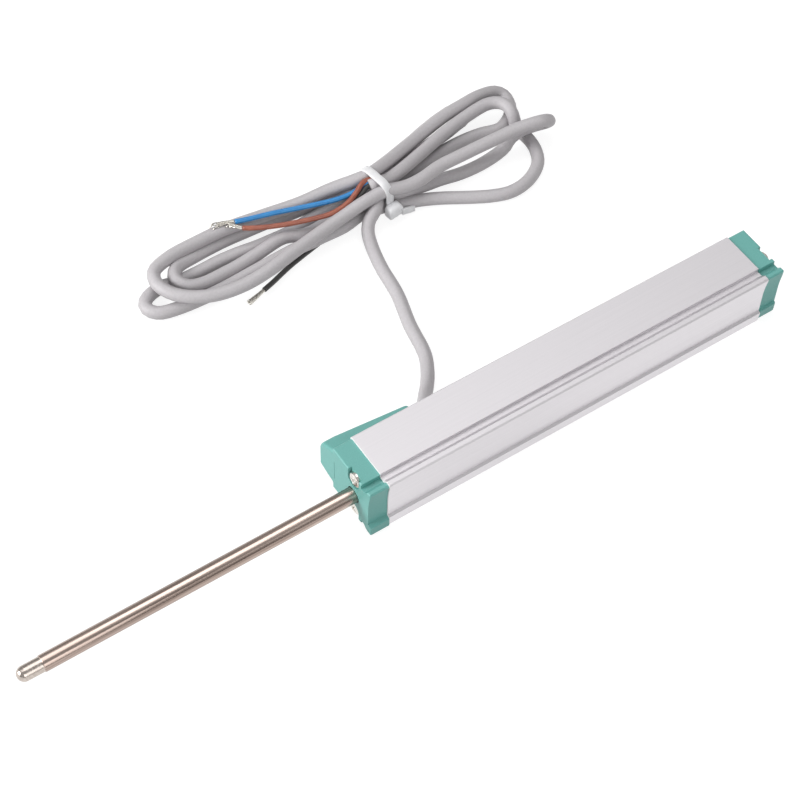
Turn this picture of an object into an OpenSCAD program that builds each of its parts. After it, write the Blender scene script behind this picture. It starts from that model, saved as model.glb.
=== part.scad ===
// Linear displacement sensor: a spring-return plunger in an extruded housing of square
// section, with two moulded end caps. The front cap carries a cable duct on its far side.
// The plunger runs along X and comes out at -X, +Z is up, and the origin is the middle of
// the housing's underside. Sizes are in millimetres.

/* [Housing] */
// Width and height of the housing section
side = 18; // [17:0.5:24]
// Length over both end caps
body_l = 133.5; // [126:0.5:220]
// Thickness of the housing wall
wall = 1.6; // [1.2:0.1:1.8]
// Depth of the long groove in the top and in the underside
groove_d = 1.25; // [0.8:0.05:1.6]
// Distance from the near edge to the far wall of the groove
groove_y = 4.4; // [4:0.1:4.6]
// Width of the flat floor of the groove
groove_w = 1.5; // [1:0.1:1.8]
// Run of the sloping near side of the groove
groove_run = 1.3; // [0.8:0.1:1.5]
// How far the near wall is scooped inward
scoop = 0.75; // [0.4:0.05:1]
// Height of the foot rail below the scooped wall
foot_h = 3.6; // [2.4:0.1:4]
// Size of the small bevels along the housing's corners
edge = 0.4; // [0.2:0.05:0.6]

/* [End caps] */
// Length of the front cap's block
front_cap_l = 5.7; // [5:0.1:8]
// Length of the rear cap
rear_cap_l = 5.6; // [5:0.1:8]
// How far the housing stands proud of the caps all round
cap_step = 0.3; // [0.1:0.05:0.5]
// Depth of the groove in the caps
cap_groove_d = 1.5; // [1:0.05:1.8]
// How far the front cap's foot stands out beyond the housing's near wall
foot_out = 0.2; // [0:0.05:0.4]
// Rounding of the caps' outer edges
cap_round = 0.5; // [0.2:0.05:0.7]
// Thickness of the gaskets under the caps
gasket_t = 0.2; // [0.15:0.05:0.6]
// How far the gaskets stand back from the caps' outline
gasket_step = 0.3; // [0.1:0.05:0.5]

/* [Cable duct] */
// How far the duct reaches out from the housing's far wall
duct_out = 5.9; // [5.6:0.1:9]
// Length of the duct, from the front face
duct_l = 25.5; // [20:0.5:34]
// Length of the duct's parallel stretch
duct_flat = 4; // [2:0.5:8]
// Drop of the duct's top below the housing's top
duct_drop = 1.9; // [1.4:0.1:2.5]
// Rise of the duct's outer wall above the underside
duct_rise = 3.7; // [3:0.1:4.5]
// Width of the duct's tail as a share of its front width
duct_taper_w = 0.8; // [0.78:0.01:0.95]
// Height of the duct's tail as a share of its front height
duct_taper_h = 0.72; // [0.68:0.01:0.95]
// Rounding of the duct's tail
duct_round = 1.5; // [0.8:0.1:2]
// Rounding of the duct's front edges
duct_front = 0.8; // [0.3:0.1:1.2]
// Distance from the housing's far wall to the middle of the cable
cable_y = 2; // [1.95:0.05:2.2]

/* [Screws] */
// Distance of the screws from the housing's top and underside
screw_in = 2.8; // [2.7:0.1:3.4]
// Diameter of the screws' shanks
screw_d = 2.5; // [2:0.1:3]
// Diameter of the screw heads
head_d = 4.5; // [4:0.1:4.7]
// Height of the screw heads
head_h = 1.1; // [0.8:0.1:1.4]
// Length of the screws under the head
screw_l = 14; // [10:0.5:18]
// Width of the notches for the screw heads
notch_w = 5; // [4.8:0.1:6]
// Depth of the notches
notch_d = 1.1; // [1:0.05:2]
// Wall round the screw channels in the housing
boss_wall = 1.2; // [0.8:0.1:1.4]

/* [Plunger] */
// Diameter of the plunger rod
rod_d = 4.5; // [4.2:0.1:5.4]
// Bore of the hollow rod
rod_bore = 3.6; // [3.4:0.1:3.8]
// How far the plunger stands out of the front cap at rest
rod_out = 94.6; // [84:0.2:140]
// Stroke of the plunger
stroke = 75; // [40:1:84]
// Sideways offset of the plunger from the middle, towards the near wall
rod_off = 1.1; // [0.6:0.05:1.2]
// Length of the tip outside the rod
tip_l = 6.5; // [5:0.5:12]
// How far the tip stands back from the rod's surface
tip_step = 0.2; // [0.2:0.05:0.3]
// Diameter of the flat on the tip's rounded end
tip_flat = 0.1; // [0:0.1:2]
// Bevel on the rod's front end
rod_bevel = 0.2; // [0.1:0.05:0.4]

/* [Guide and stops] */
// Outer diameter of the bushing and of the stop rings
bush_d = 6.6; // [6.2:0.1:6.8]
// Length of the bushing
bush_l = 8; // [6:0.5:10]
// Thickness of the rod's wiper seal
seal_t = 1.4; // [1:0.1:2]
// Depth of the seal behind the front face
seal_in = 0.6; // [0.4:0.1:1]
// Length of the front stop ring
bumper_l = 2; // [1:0.5:3]
// Length of the rear stop ring
rear_stop_l = 4.9; // [2:0.1:6]
// Length of the collar on the rod
collar_l = 2; // [1.5:0.5:3]

/* [Return spring] */
// Outer diameter of the spring
spring_d = 3.2; // [3:0.05:3.3]
// Inner diameter of the spring
spring_bore = 2.2; // [2.1:0.05:2.5]
// Diameter of the pin that guides the spring
guide_d = 1.8; // [1.4:0.1:1.9]
// Depth of the spring's front seat, from the front face at rest
spring_reach = 37.5; // [30:0.5:60]
// Thickness of the spring's front seat
seat_t = 2; // [1:0.5:4]
// How far the guide pin sits in the rear cap
guide_hold = 3.4; // [2:0.1:4]

/* [Carriage and track] */
// Length of the carriage
carriage_l = 16; // [12:0.5:20]
// Height of the carriage between the screw channels
carriage_h = 6.4; // [5.8:0.1:6.6]
// Thickness of the track board
board_t = 1; // [0.8:0.1:1.2]
// Clear length between the track board and the end caps
board_end = 2.5; // [1.5:0.5:5]
// Thickness of the two tracks
track_t = 0.2; // [0.1:0.05:0.3]
// Width of each track
track_w = 3; // [2:0.1:3.4]
// Thickness of the wiper contacts
contact_t = 0.2; // [0.15:0.05:0.3]

/* [Cable] */
// Diameter of the cable
cable_d = 3.8; // [3:0.1:4]
// Diameter of the cores
core_d = 1.5; // [1:0.1:1.6]
// Width of the tie strap
tie_w = 2.5; // [2:0.1:3.6]
// Thickness of the tie strap
tie_t = 0.8; // [0.6:0.1:1.2]

/* [Clearances] */
// Radial clearance of the rod in its bushing and seal
rod_fit = 0.03; // [0.02:0.01:0.08]
// Clearance of the carriage at the near wall
slide_gap = 0.1; // [0.05:0.01:0.15]
// Clearance round screws, rings and leads that pass through a wall
pass_gap = 0.2; // [0.1:0.05:0.3]
// Clearance between the wiper contacts and the tracks
touch_gap = 0.03; // [0.02:0.01:0.08]

/* [Hidden] */
$fn = 48;

// Housing section, seen along X: half width, and the planes of the groove
hw = side / 2;
groove_far = -hw + groove_y;
groove_near = groove_far - groove_w;

// Stations along X: front face, housing ends, rear face
x_face = -body_l / 2;
x_front_in = x_face + front_cap_l;
x_prof_0 = x_front_in + gasket_t;
x_back = body_l / 2;
x_rear_in = x_back - rear_cap_l;
x_prof_1 = x_rear_in - gasket_t;

// Plunger axis and its stations
rod_y = -rod_off;
rod_z = side / 2;
tip_d = rod_d - 2 * tip_step;
tip_r = (tip_d - tip_flat) / 2;
x_tip = x_face - rod_out;
x_tube_0 = x_tip + tip_l;
x_stop = x_rear_in - rear_stop_l;
x_tube_1 = x_stop - stroke;
x_bush_0 = x_face + seal_in + seal_t;
x_bush_1 = x_bush_0 + bush_l;
x_collar = x_bush_1 + bumper_l;
x_carriage = x_tube_1 - carriage_l;
x_seat = x_face - spring_reach;
x_spring_end = x_stop + 1;
x_guide = x_seat + seat_t + stroke + 1;

// Screw channels
screw_z = [screw_in, side - screw_in];
boss_r = screw_d / 2 + 0.05 + boss_wall;

// Inside of the housing
in_far = hw - wall;
in_near = -hw + scoop + wall;
in_mid = groove_far + wall;
board_y = in_far - board_t;
track_y = board_y - track_t;
carriage_far = track_y - 1.2;

// Cable exit
exit_y = hw + cable_y;
exit_z = side / 2;
x_exit = x_face + duct_l;
room_0 = 1.6;
room_y0 = rod_y + bush_d / 2 + 2.2;
room_y1 = exit_y + cable_d / 2 + 0.5;
room_h = 6.4;
x_cable_end = x_face + room_0 + 1.2;

// Outline of the housing section, set back by c, with a groove of depth g. Points go
// counter-clockwise as (y, z). The near wall is scooped along a quarter of a sine.
scoop_n = 8;
function section(c, g) = concat(
    [[hw - c - edge, c], [hw - c, c + edge],
     [hw - c, side - c - edge], [hw - c - edge, side - c],
     [groove_far, side - c], [groove_far, side - c - g],
     [groove_near, side - c - g], [groove_near - groove_run, side - c],
     [-hw + c + edge, side - c]],
    [for (i = [0 : scoop_n]) let (t = i / scoop_n)
        [-hw + c + scoop * sin(90 * t), side - c - edge - (side / 2 - 1.6) * t]],
    [[-hw + c + scoop, foot_h + 0.3], [-hw + c, foot_h], [-hw + c + 0.3, c],
     [groove_near - groove_run, c], [groove_near, c + g],
     [groove_far, c + g], [groove_far, c]]);

// Moves every edge of a counter-clockwise outline inward by d
function unit(v) = v / norm(v);
function inward(a, b) = let (e = unit(b - a)) [-e[1], e[0]];
function inset(p, d) = let (n = len(p)) [for (i = [0 : n - 1])
    let (m = inward(p[(i + n - 1) % n], p[i]), k = inward(p[i], p[(i + 1) % n]))
    p[i] + d * (m + k) / (1 + m * k)];

// Solid through a list of closed rings with equal point counts, in order of rising X
module loft(rings) {
    n = len(rings[0]);
    m = len(rings);
    polyhedron(
        points = [for (r = rings) each r],
        faces = concat(
            [[for (i = [0 : n - 1]) i]],
            [[for (i = [n - 1 : -1 : 0]) (m - 1) * n + i]],
            [for (k = [0 : m - 2]) for (i = [0 : n - 1])
                let (a = k * n + i, b = k * n + (i + 1) % n) [a, a + n, b]],
            [for (k = [0 : m - 2]) for (i = [0 : n - 1])
                let (b = k * n + (i + 1) % n, d = (k + 1) * n + i) [d, b + n, b]]));
}
function ring_at(x, p) = [for (q = p) [x, q[0], q[1]]];

// Extrudes a (y, z) outline from x0 to x1, or a disc or a ring about the plunger axis
module along_x(x0, x1) translate([x0, 0, 0]) rotate([90, 0, 90]) linear_extrude(x1 - x0) children();
module rod_at(x0, x1, d, y = rod_y, z = rod_z)
    translate([x0, y, z]) rotate([0, 90, 0]) cylinder(d = d, h = x1 - x0);
module ring_x(x0, x1, d, bore, y = rod_y, z = rod_z) difference() {
    rod_at(x0, x1, d, y, z);
    rod_at(x0 - 1, x1 + 1, bore, y, z);
}

// Housing
module housing_profile() color("#dedce0") along_x(x_prof_0, x_prof_1) difference() {
    polygon(section(0, groove_d));
    difference() {
        union() {
            translate([in_mid, wall]) square([in_far - in_mid, side - 2 * wall]);
            translate([in_near, wall + groove_d])
                square([in_mid - in_near + 1, side - 2 * (wall + groove_d)]);
        }
        for (z = screw_z) translate([rod_y, z]) circle(boss_r);
        // Lips that hold the track board against the far wall
        for (z = [wall, side - wall - 1]) translate([board_y - 0.9, z]) square([0.8, 1]);
    }
    for (z = screw_z) translate([rod_y, z]) circle(d = screw_d + 0.1);
}

// End caps
// Block of a cap from x = 0 (outer face) to x = l. Its plan and its side view round the
// edges of the outer face.
function round_end(l, lo, hi, r) = concat(
    [[l, hi], [r, hi]], [for (a = [30 : 30 : 90]) [r - r * sin(a), hi - r + r * cos(a)]],
    [for (a = [90 : -30 : 30]) [r - r * sin(a), lo + r - r * cos(a)]], [[r, lo], [l, lo]]);
module rounded_end(l, y0, z0) intersection() {
    along_x(0, l) children();
    translate([0, side, 0]) rotate([90, 0, 0]) linear_extrude(2 * side)
        polygon(round_end(l, z0, side - cap_step, cap_round));
    translate([0, 0, -1]) linear_extrude(side + 2)
        polygon(round_end(l, y0, hw - cap_step, cap_round));
}
module cap_block(l) rounded_end(l, cap_step - hw, cap_step)
    polygon(section(cap_step, cap_groove_d));
// Foot of the front cap, a little proud of the housing's foot rail
module foot(l) rounded_end(l, -hw - foot_out, 0.1) polygon([
    [-hw - foot_out, 0.4], [-hw - foot_out + 0.3, 0.1], [groove_near - groove_run, 0.1],
    [groove_near - groove_run, foot_h], [-hw + scoop + 0.4, foot_h + 0.4],
    [-hw - foot_out, foot_h - 0.3]]);
// U notch for a screw head, open to the top or to the underside
module notch(z, up) translate([-1, rod_y, z]) rotate([0, 90, 0]) {
    cylinder(d = notch_w, h = notch_d + 1);
    translate([up > 0 ? -side : 0, -notch_w / 2, 0]) cube([side, notch_w, notch_d + 1]);
}
module notches() {
    notch(screw_z[0], -1);
    notch(screw_z[1], 1);
    for (z = screw_z) rod_at(-1, side, screw_d + 0.3, rod_y, z);
}

// Duct section at the front, counter-clockwise as (y, z) from the inner lower corner. The
// tail shrinks towards the housing's far wall and the middle of the height.
duct_y = hw + duct_out;
duct_z0 = duct_rise;
duct_z1 = side - duct_drop;
duct_root = hw - 2;
duct_pts = [[duct_root, duct_z0 - 1.7], [hw + 1.4, duct_z0 - 1.2],
            [duct_y - 0.5, duct_z0 - 0.1], [duct_y, duct_z0 + 0.4],
            [duct_y, duct_z1 - 4.8], [duct_y - 0.3, duct_z1 - 3.9],
            [duct_y - 0.8, duct_z1 - 2.9], [duct_y - 1.3, duct_z1 - 2.3],
            [hw + 0.7, duct_z1], [hw - 0.4, duct_z1 + 0.2], [duct_root, duct_z1 + 0.25]];
function duct_ring(x, d = 0, k = 1) = let (
    t = max(0, min(1, (x - duct_flat) / (duct_l - duct_round - duct_flat))),
    ky = 1 - (1 - duct_taper_w) * t, kz = 1 - (1 - duct_taper_h) * t,
    y0 = hw - 0.1, p = inset(duct_pts, d))
    [for (q = p) let (y = y0 + (q[0] - y0) * ky, z = rod_z + (q[1] - rod_z) * kz)
        [x, y0 + (y - y0) * k, rod_z + (z - rod_z) * k]];
module duct() difference() {
    hull() loft(concat(
        [for (a = [90, 60, 30, 0])
            duct_ring(duct_front * (1 - sin(a)), duct_front * (1 - cos(a)))],
        [duct_ring(duct_flat), duct_ring(duct_l - duct_round)],
        [for (a = [30, 60, 90])
            duct_ring(duct_l - duct_round * (1 - sin(a)), 0, 1 - 0.08 * (1 - cos(a)))]));
    // The housing's far wall closes the duct behind the cap's block
    translate([front_cap_l, -side, -1]) cube([duct_l, side + hw, side + 2]);
}
// Web under the duct, down to the block's lower corner
module duct_web() along_x(cap_round, front_cap_l) polygon([
    [duct_root, cap_step + edge], [hw - cap_step, cap_step + edge],
    [hw + 1.4, duct_z0 - 1.1], [duct_root, duct_z0 - 1.1]]);

module front_cap() color("#6ab2aa") translate([x_face, 0, 0]) difference() {
    union() {
        cap_block(front_cap_l);
        foot(front_cap_l);
        duct();
        duct_web();
    }
    notches();
    // Bore for the rod, seat of the seal and seat of the bushing
    rod_at(-1, side, rod_d + 0.4);
    rod_at(seal_in, side, bush_d);
    // Room for the leads and the cable's end, open towards the housing
    translate([room_0, room_y0, rod_z - room_h / 2])
        cube([front_cap_l - room_0 + 0.01, room_y1 - room_y0, room_h]);
    // Channel for the cable, open towards the housing's far wall
    rod_at(room_0, duct_l + 1, cable_d + 0.1, exit_y, exit_z);
    translate([front_cap_l - 0.01, hw - 1, exit_z - 1.2]) cube([duct_l, cable_y + 1, 2.4]);
    // Fine witness line on the face, beside the duct
    translate([-1, hw - 1.3, side * 0.28]) cube([1.12, 0.15, side * 0.42]);
}
module rear_cap() color("#6ab2aa") translate([x_back, 0, 0]) mirror([1, 0, 0]) difference() {
    cap_block(rear_cap_l);
    notches();
    rod_at(rear_cap_l - guide_hold, side, guide_d);
}

// Gaskets
module gasket(x, lead) color("#33373a") along_x(x, x + gasket_t) difference() {
    polygon(section(cap_step + gasket_step, cap_groove_d));
    translate([rod_y, rod_z]) circle(d = bush_d + 2 * pass_gap);
    for (z = screw_z) translate([rod_y, z]) circle(d = screw_d + 2 * pass_gap);
    if (lead) translate([room_y0, rod_z - room_h / 2])
        square([in_far - room_y0, room_h]);
}
module front_gasket() gasket(x_front_in, true);
module rear_gasket() gasket(x_prof_1, false);

// Screws
// Pan head screw with its head's underside at x = 0, pointing along +X
module screw() color("#d8d4cc") rotate([0, 90, 0]) rotate_extrude() polygon([
    [0, screw_l], [screw_d / 2 - 0.4, screw_l], [screw_d / 2, screw_l - 0.5], [screw_d / 2, 0],
    [head_d / 2, 0], [head_d / 2, -head_h * 0.45], [head_d * 0.46, -head_h * 0.75],
    [head_d * 0.38, -head_h * 0.93], [head_d * 0.26, -head_h], [0, -head_h]]);
module front_screw(z) translate([x_face + notch_d, rod_y, z]) screw();
module rear_screw(z) translate([x_back - notch_d, rod_y, z]) mirror([1, 0, 0]) screw();
module front_screw_top() front_screw(screw_z[1]);
module front_screw_bottom() front_screw(screw_z[0]);
module rear_screw_top() rear_screw(screw_z[1]);
module rear_screw_bottom() rear_screw(screw_z[0]);

// Guide and stops
module rod_bushing() color("#b08d4f") ring_x(x_bush_0, x_bush_1, bush_d, rod_d + 2 * rod_fit);
module rod_seal() color("#2a2a2c")
    ring_x(x_bush_0 - seal_t, x_bush_0, bush_d, rod_d + 2 * rod_fit);
module front_stop_ring() color("#2a2a2c")
    ring_x(x_bush_1, x_collar, bush_d, rod_d + 2 * pass_gap);
module rear_stop_ring() color("#2a2a2c")
    ring_x(x_stop, x_rear_in, bush_d, rod_bore + 0.2);

// Plunger
module rod_tube() color("#b9aca2") translate([x_tube_0, rod_y, rod_z]) rotate([0, 90, 0])
    rotate_extrude() polygon([
        [rod_bore / 2, 0], [rod_d / 2 - rod_bevel, 0], [rod_d / 2, rod_bevel],
        [rod_d / 2, x_tube_1 - x_tube_0], [rod_bore / 2, x_tube_1 - x_tube_0]]);
// Tip with a rounded end and a spigot in the rod
module rod_tip() color("#c4b8ae") translate([x_tip, rod_y, rod_z]) rotate([0, 90, 0])
    rotate_extrude() polygon(concat(
        [[0, 0]],
        [for (a = [0 : 15 : 90]) [tip_d / 2 - tip_r + tip_r * sin(a), tip_r * (1 - cos(a))]],
        [[tip_d / 2, tip_l], [rod_bore / 2, tip_l], [rod_bore / 2, tip_l + 5],
         [0, tip_l + 5]]));
module stop_collar() color("#8d8f92") ring_x(x_collar, x_collar + collar_l, bush_d - 0.2, rod_d);
module spring_seat() color("#c9a45a") rod_at(x_seat, x_seat + seat_t, rod_bore);

// Carriage: a block on the rod's inner end, with relieved flanks and a shoe at the near wall
module carriage() color("#e8e4d8") difference() {
    translate([x_carriage, in_near + slide_gap, rod_z - carriage_h / 2])
        cube([carriage_l, carriage_far - in_near - slide_gap, carriage_h]);
    rod_at(x_carriage - 1, x_tube_1 + 1, rod_d);
    translate([x_carriage + 3, in_near - 1, rod_z - carriage_h / 2 + 1.2])
        cube([carriage_l - 6, 2.4, carriage_h - 2.4]);
    translate([x_carriage + 3, carriage_far - 1.2, rod_z - 0.6])
        cube([carriage_l - 6, 2, 1.2]);
}
// Two spring fingers on a plate that is staked to the carriage
module wiper_contacts() color("#c9b37a") {
    t = contact_t;
    y1 = carriage_far + t;
    y2 = track_y - touch_gap;
    xm = x_carriage + carriage_l / 2;
    translate([xm, carriage_far, rod_z - carriage_h / 2 + 0.2])
        cube([carriage_l / 2 - 1, t, carriage_h - 0.4]);
    for (s = [-1, 1]) translate([0, 0, rod_z + s * (carriage_h / 2 - 0.9) - 0.6])
        linear_extrude(1.2) polygon([[xm + 1, y1 - t], [xm + 1, y1], [xm, y1],
            [xm - 4.2, y2 - 0.1], [xm - 4.8, y2], [xm - 5.6, y2 - 0.3],
            [xm - 5.6, y2 - 0.3 - t], [xm - 4.8, y2 - t], [xm - 4.2, y2 - 0.1 - t],
            [xm, y1 - t]]);
}

// Return spring
// Plain sleeve of the spring's own size, and the pin that guides it
module return_spring() color("#9a9da0")
    ring_x(x_seat + seat_t, x_spring_end, spring_d, spring_bore);
module spring_guide() color("#9a9da0") {
    rod_at(x_guide, x_rear_in + guide_hold, guide_d);
    rod_at(x_spring_end, x_rear_in, rod_bore);
}

// Track board
board_x0 = x_front_in + board_end;
board_x1 = x_rear_in - board_end;
module track_board() color("#5c7f4e")
    translate([board_x0, board_y, wall + 0.1])
        cube([board_x1 - board_x0, board_t, side - 2 * wall - 0.2]);
module track(s) translate([board_x0 + 3, track_y, rod_z + s * (carriage_h / 2 - 0.9) - track_w / 2])
    cube([board_x1 - board_x0 - 6, track_t, track_w]);
module resistance_track() color("#2c2c2e") track(1);
module collector_track() color("#8f8a80") track(-1);

// Flat three-lead ribbon from the board's front end, through the cap's room, to the cable
module lead_ribbon() color("#b4733c") {
    y0 = board_y - 0.3;
    xr = x_cable_end - 0.3;
    xs = board_x0 + 2.8;
    translate([0, 0, rod_z - 1.8]) linear_extrude(3.6) polygon([
        [xs, y0], [xs, y0 + 0.3], [x_front_in - 0.2, y0 + 0.3], [xr + 0.9, y0 + 1.3],
        [xr + 0.3, y0 + 2.6], [xr + 0.3, exit_y + 1], [xr, exit_y + 1], [xr, y0 + 2.5],
        [xr + 0.6, y0 + 1.1], [x_front_in - 0.3, y0]]);
}

// Cable
// Tube of n sides that is swept along the points p
function heading(p, i) = unit(p[min(i + 1, len(p) - 1)] - p[max(i - 1, 0)]);
function tube_ring(p, i, r, n) = let (t = heading(p, i), u = unit(cross([0, 0, 1], t)),
    v = cross(t, u))
    [for (k = [0 : n - 1]) let (a = 360 * (k + 0.5) / n) p[i] + r * (cos(a) * u + sin(a) * v)];
module tube(p, d, n = 8) loft([for (i = [0 : len(p) - 1]) tube_ring(p, i, d / 2, n)]);

// Route of the cable from the cap's room to the hank, on the floor from the tenth point
lead_route = [[x_cable_end, exit_y, exit_z], [-56, exit_y, exit_z], [-46, exit_y, exit_z],
    [-41, exit_y, exit_z], [-38.3, 11.2, 8.2], [-36.2, 12.7, 7], [-34.1, 15, 5.4],
    [-32.1, 17.5, 3.8], [-29.2, 20.8, 2.3], [-26.5, 24.1, 1.9], [-23.6, 29.9, 1.9],
    [-21.3, 40.7, 1.9], [-18.2, 51.6, 1.9], [-16.9, 61.4, 1.9], [-14.5, 70.3, 1.9],
    [-11.4, 76.3, 1.9]];

// Hank: the tie stands across it, a little turned, and holds its waist. The two layers of
// turns on either side are given by circles, as [x, y, radius].
tie_x = -4.2;
hank_y = 83.8;
tie_turn = 8;
waist_w = 11.4;
waist_h = 10.4;
waist_l = 8;
lower_left = [[-72.4, 84.7, 8.7], [-58.7, 83.8, 8.4], [-50.8, 87.6, 7.6]];
upper_left = [[-68.1, 85, 8.8], [-52.8, 81.1, 9.4], [-50.8, 86.5, 8.8]];
right_turns = [[33.2, 71.2, 8.1], [39.8, 73.2, 8.6], [43.2, 94, 8], [48, 82.7, 7.1]];

blue_route = [[-13.1, 85.4, 8.9], [-17.4, 85.8, 8.4], [-21.4, 86.7, 8.4],
    [-26.7, 88.4, 8.4], [-32.1, 90.1, 8.4], [-39, 92, 8.4], [-45.9, 94.1, 8.4]];
brown_route = [[-13.1, 83, 8.9], [-17.4, 82.3, 8.4], [-21.4, 81.9, 8.4],
    [-26.3, 82.3, 8.4], [-32.2, 84.4, 8.4], [-39.1, 87.3, 8.4], [-44.5, 89.8, 8.4]];
black_route = [[-36.4, 76.1, 0.8], [-40, 75.2, 0.8], [-44.9, 74, 0.8], [-48.8, 73.1, 0.8],
    [-53.7, 71.8, 0.8]];

module cable_lead() color("#c3c0bd") tube(lead_route, cable_d);
// Ring crimped on the jacket, which stops the cable from being pulled out of the duct
module cable_clamp() color("#9a9da0")
    ring_x(x_cable_end + 0.4, x_front_in, cable_d + 0.9, cable_d + 0.02, exit_y, exit_z);

// Outer shape of the hank: two layers of turns to the left of the tie, one solid layer to the
// right, and the waist in the tie
module at_tie() translate([tie_x, hank_y, 0]) rotate([0, 0, tie_turn]) children();
module turns(circles, x, w) hull() {
    for (c = circles) translate([c[0], c[1]]) circle(c[2], $fn = 32);
    at_tie() translate([x, -w / 2]) square([1, w]);
}
module cable_hank() color("#c3c0bd") {
    linear_extrude(cable_d) turns(lower_left, -waist_l, waist_w - 3.4);
    translate([0, 0, cable_d]) linear_extrude(cable_d) turns(upper_left, -waist_l, waist_w);
    linear_extrude(2 * cable_d) turns(right_turns, waist_l / 2, waist_w);
    at_tie() along_x(-waist_l, waist_l / 2 + 1)
        translate([0, tie_t + waist_h / 2]) rounded(waist_w, waist_h, 3.4);
}
module rounded(w, h, r) {
    square([w - 2 * r, h], center = true);
    square([w, h - 2 * r], center = true);
    for (i = [-1, 1], j = [-1, 1]) translate([i * (w / 2 - r), j * (h / 2 - r)]) circle(r);
}
module tie_strap() color("#e9e9e6") at_tie() along_x(-tie_w / 2, tie_w / 2)
    translate([0, tie_t + waist_h / 2]) difference() {
        rounded(waist_w + 2 * tie_t, waist_h + 2 * tie_t, 3.4 + tie_t);
        rounded(waist_w, waist_h, 3.4);
    }
// Locking head beside the hank, with the cut tail of the strap
module tie_head() color("#e9e9e6") at_tie() translate([0, -waist_w / 2 - tie_t, 0]) {
    translate([-tie_w / 2 - 0.7, -2.9, 1.2]) cube([tie_w + 1.4, 2.9, 3.6]);
    translate([tie_w / 2 + 0.7, -2.4, 1.4]) cube([3, tie_t, tie_w]);
}

module core_blue() color("#2d7dbe") tube(blue_route, core_d);
module core_brown() color("#8a5444") tube(brown_route, core_d);
module core_black() color("#2b2b2d") tube(black_route, core_d);

housing_profile();
front_cap();
rear_cap();
front_gasket();
rear_gasket();
front_screw_top();
front_screw_bottom();
rear_screw_top();
rear_screw_bottom();
rod_bushing();
rod_seal();
front_stop_ring();
rear_stop_ring();
rod_tube();
rod_tip();
stop_collar();
spring_seat();
carriage();
wiper_contacts();
return_spring();
spring_guide();
track_board();
resistance_track();
collector_track();
lead_ribbon();
cable_clamp();
cable_lead();
cable_hank();
tie_strap();
tie_head();
core_blue();
core_brown();
core_black();
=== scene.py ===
# Linear displacement sensor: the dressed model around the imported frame. Everything is in
# metres in the row frame, +Z up, with the origin at the middle of the housing's underside.
import math

import bmesh
import bpy
import numpy as np
from mathutils import Matrix, Vector


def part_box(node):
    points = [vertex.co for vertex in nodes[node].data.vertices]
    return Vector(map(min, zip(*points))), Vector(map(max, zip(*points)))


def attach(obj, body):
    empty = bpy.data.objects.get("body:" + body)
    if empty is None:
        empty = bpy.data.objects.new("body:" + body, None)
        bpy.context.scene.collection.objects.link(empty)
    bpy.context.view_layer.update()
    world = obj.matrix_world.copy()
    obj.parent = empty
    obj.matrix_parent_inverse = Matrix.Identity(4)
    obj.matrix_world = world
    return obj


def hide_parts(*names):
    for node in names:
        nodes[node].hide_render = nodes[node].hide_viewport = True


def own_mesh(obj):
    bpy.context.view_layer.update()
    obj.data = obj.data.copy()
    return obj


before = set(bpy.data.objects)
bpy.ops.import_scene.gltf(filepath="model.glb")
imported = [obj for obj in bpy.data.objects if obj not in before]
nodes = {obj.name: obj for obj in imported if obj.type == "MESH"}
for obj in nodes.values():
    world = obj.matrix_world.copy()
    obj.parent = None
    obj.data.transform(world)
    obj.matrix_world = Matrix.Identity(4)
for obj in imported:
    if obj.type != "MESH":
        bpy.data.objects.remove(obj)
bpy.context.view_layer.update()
scene = bpy.context.scene

# Camera
# It stands high over the plunger's side of the near corner, as in the photograph, and looks
# at a point over the front third of the housing.
view_az, view_el, view_roll = math.radians(-35.264), math.radians(54.191), math.radians(1.921)
view_point, view_distance = Vector((-0.04053, 0.01695, 0.009)), 0.52053
# The lens, as its focal length in pixels of the picture
lens_pixels, picture_pixels, film_wide = 1995.5, 800, 36
view_back = Vector((math.sin(view_az) * math.cos(view_el), -math.cos(view_az) * math.cos(view_el),
                    math.sin(view_el)))
side_axis = view_back.cross(Vector((0, 0, 1))).normalized() * -1
up_axis = view_back.cross(side_axis)
turn = Matrix((side_axis, up_axis, view_back)).transposed() @ Matrix.Rotation(view_roll, 3, "Z")
camera = bpy.data.objects.new("camera", bpy.data.cameras.new("camera"))
scene.collection.objects.link(camera)
camera.matrix_world = Matrix.LocRotScale(view_point + view_distance * view_back, turn, None)
camera.data.sensor_width = film_wide
camera.data.lens = film_wide * lens_pixels / picture_pixels
camera.data.clip_start = 0.01
scene.camera = camera

# Cable
# A round PVC jacket of 3.8 mm over three cores, one metre long. It drops out of the duct, runs
# back on the floor and lies in a flat hank of four loops, as a hand wound it.
cable_d, cable_step, cable_sides = 0.0038, 0.0015, 20
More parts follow.
